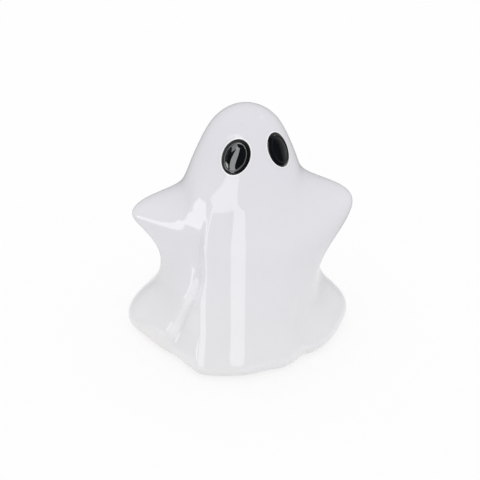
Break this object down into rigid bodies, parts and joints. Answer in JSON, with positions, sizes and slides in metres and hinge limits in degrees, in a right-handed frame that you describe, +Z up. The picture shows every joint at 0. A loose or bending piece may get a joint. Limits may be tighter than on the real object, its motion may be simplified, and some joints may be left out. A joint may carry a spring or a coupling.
{
  "type": "ceramic ghost figure",
  "caption": "Hollow glazed white ceramic ghost figure: a draped sheet over outstretched arms, with glossy black oval eyes and a rippled hem, on soft foot pads.",
  "frame": {"origin": "on the table, under the middle of the figure's outline", "axes": "+Z up from the table to the crown, the front towards -Y, +X to the right as seen from the front"},
  "size_m": [0.1167, 0.1082, 0.1285],
  "materials": {
    "white_glaze": "clear gloss glaze over white earthenware, bare and matt under the foot",
    "black_glaze": "deep black gloss glaze",
    "pad_felt": "pressed felt with a stuck back"
  },
  "bodies": {
    "root": {"ghost_body": "white_glaze", "left_eye": "black_glaze", "right_eye": "black_glaze", "foot_pad_1": "pad_felt", "foot_pad_2": "pad_felt", "foot_pad_3": "pad_felt", "foot_pad_4": "pad_felt"}
  },
  "joints": []
}
